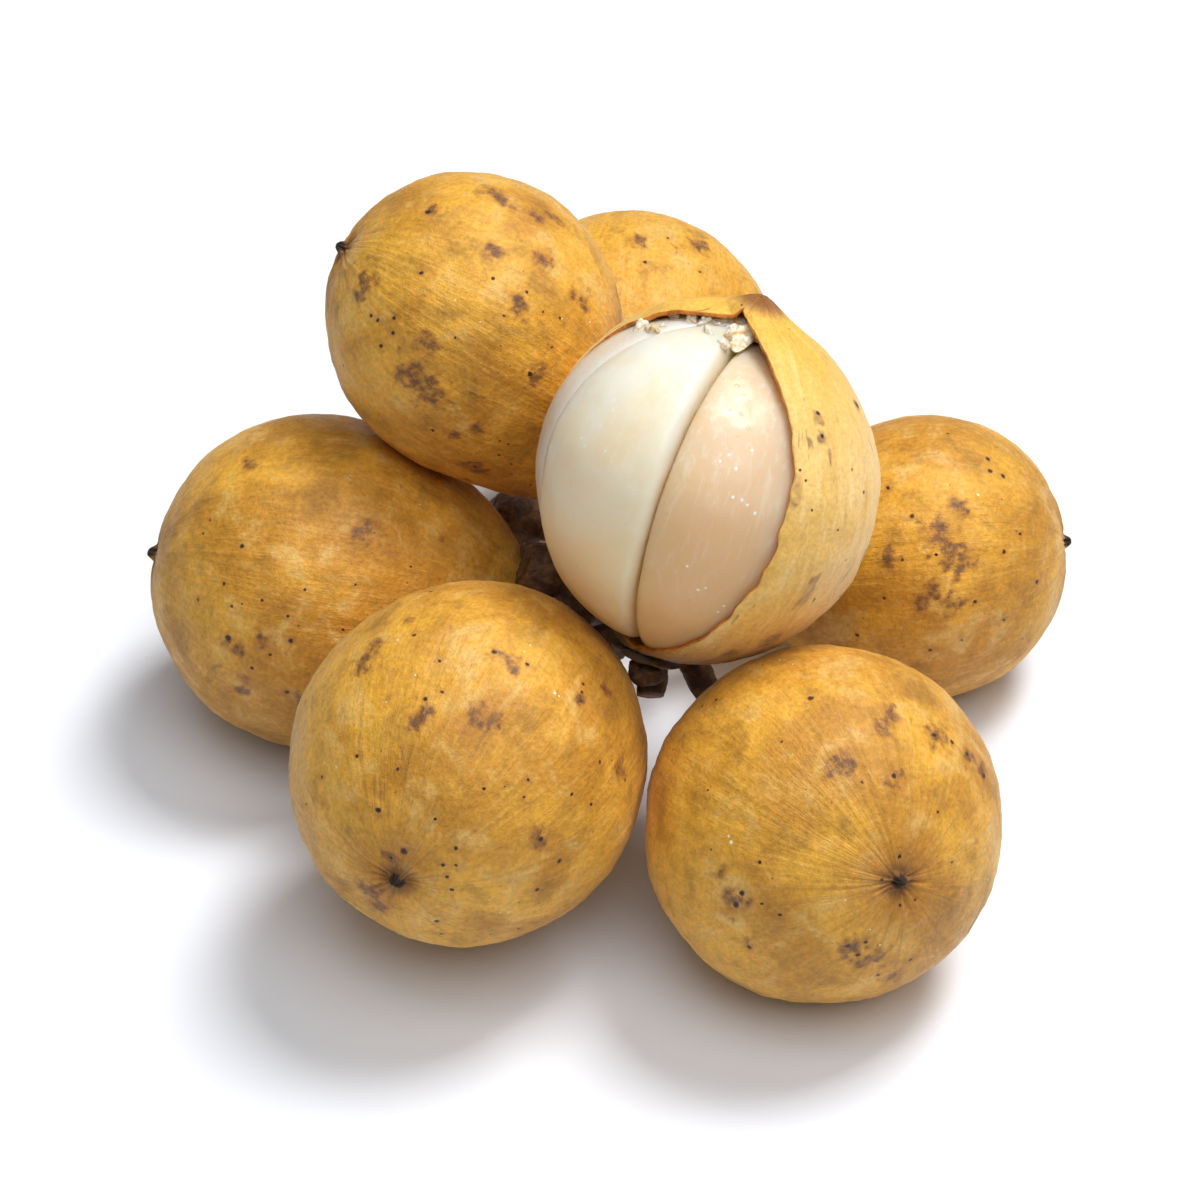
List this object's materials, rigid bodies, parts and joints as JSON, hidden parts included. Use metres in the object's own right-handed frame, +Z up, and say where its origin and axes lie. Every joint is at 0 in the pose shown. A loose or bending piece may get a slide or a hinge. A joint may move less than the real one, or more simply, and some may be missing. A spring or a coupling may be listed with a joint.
{
  "type": "langsat bunch",
  "caption": "Bunch of ripe langsat fruit on a short woody stalk, lying down, with one fruit peeled open to show its translucent segments.",
  "frame": {"origin": "on the surface the bunch lies on, under the middle of its bounding box", "axes": "+Z up, +Y from the two front fruits to the back fruit, +X from the left fruit to the right fruit"},
  "size_m": [0.1019, 0.1038, 0.0625],
  "materials": {
    "skin": "matt, velvety",
    "open_skin": "matt, velvety",
    "flesh": "wet, translucent",
    "pith_fibre": "matt fibrous",
    "bark": "rough",
    "sepal": "matt"
  },
  "bodies": {
    "root": {"rachis": "bark", "fruit_upper_left": "skin", "fruit_back": "skin", "fruit_right": "skin", "fruit_left": "skin", "fruit_front_left": "skin", "fruit_front_right": "skin", "calyx_upper_left": "sepal", "calyx_back": "sepal", "calyx_right": "sepal", "calyx_left": "sepal", "calyx_front_left": "sepal", "calyx_front_right": "sepal", "calyx_open_fruit": "sepal", "open_peel": "open_skin", "aril_1": "flesh", "aril_2": "flesh", "aril_3": "flesh", "aril_4": "flesh", "aril_5": "flesh", "pith": "pith_fibre"}
  },
  "joints": []
}
